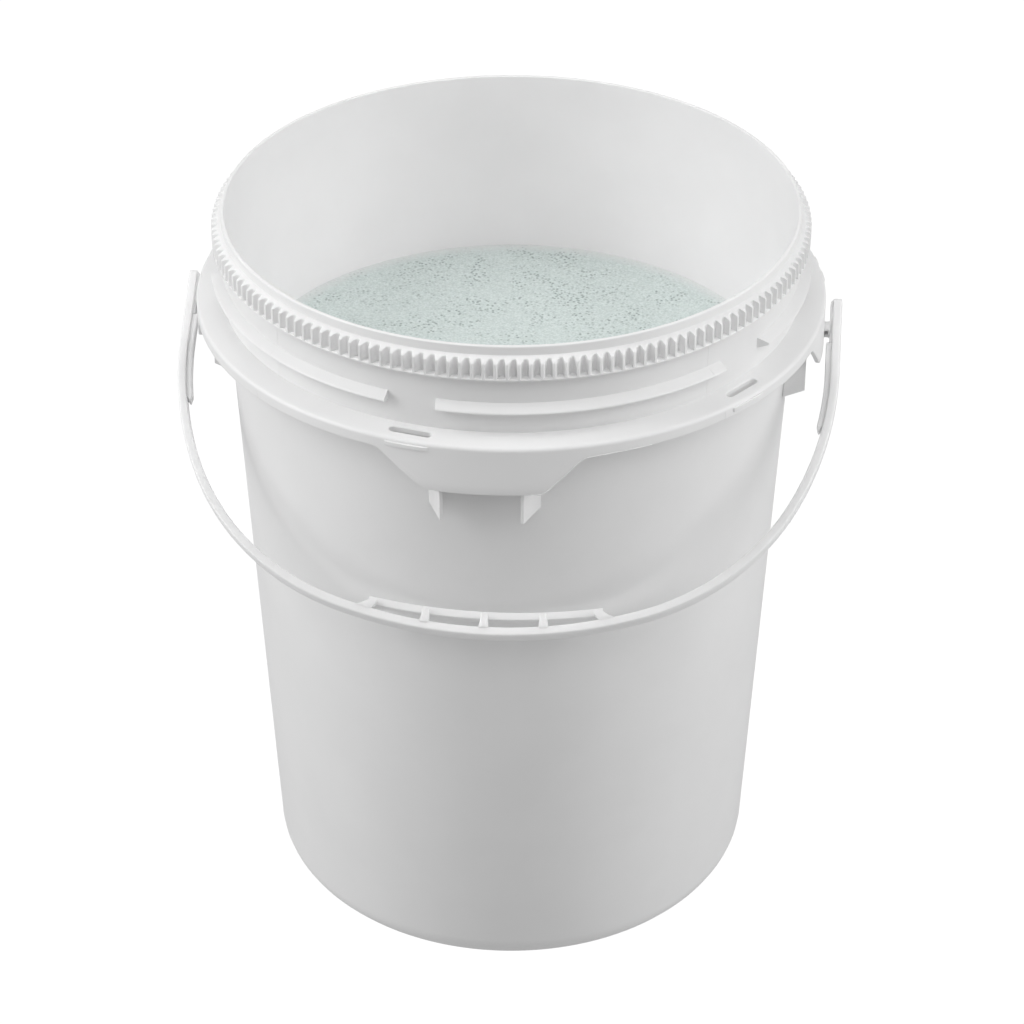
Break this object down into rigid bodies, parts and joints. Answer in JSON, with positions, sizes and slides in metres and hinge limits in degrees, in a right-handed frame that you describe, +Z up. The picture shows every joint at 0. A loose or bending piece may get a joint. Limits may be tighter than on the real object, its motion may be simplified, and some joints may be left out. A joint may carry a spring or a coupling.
{
  "type": "plastic fermenting bucket",
  "caption": "Open tapered moulded bucket with a ratchet lip and bayonet thread for a lid, collar with tilt panels, and a swinging bail handle with a ladder grip.",
  "frame": {"origin": "centre of the flat base, on the surface that the bucket stands on", "axes": "+Z up along the bucket's axis, -Y towards the front tilt panel and the hanging bail, X along the bail's pivot axis"},
  "size_m": [0.352, 0.334, 0.408],
  "materials": {
    "bucket_plastic": "white injection-moulded polypropylene, satin",
    "bail_plastic": "white injection-moulded polypropylene, satin"
  },
  "bodies": {
    "bucket": {"base": "bucket_plastic", "wall": "bucket_plastic", "neck": "bucket_plastic", "ratchet_ring": "bucket_plastic", "lid_thread": "bucket_plastic", "collar": "bucket_plastic", "tilt_panel_front": "bucket_plastic", "tilt_panel_back": "bucket_plastic", "ear_left": "bucket_plastic", "ear_right": "bucket_plastic", "fins_front": "bucket_plastic", "fins_right": "bucket_plastic", "fins_back": "bucket_plastic", "fins_left": "bucket_plastic"},
    "bail": {"bail_strap": "bail_plastic", "grip_rail": "bail_plastic", "grip_webs": "bail_plastic", "grip_rungs": "bail_plastic", "arm_rib_left": "bail_plastic", "arm_rib_right": "bail_plastic", "snap_pin_left": "bail_plastic", "snap_pin_right": "bail_plastic"}
  },
  "joints": [
    {"name": "bail_swing", "type": "hinge", "parent": "bucket", "child": "bail", "pos_m": [0, 0, 0.339], "axis": [-1, 0, 0], "range_deg": [0, 243.4]}
  ]
}
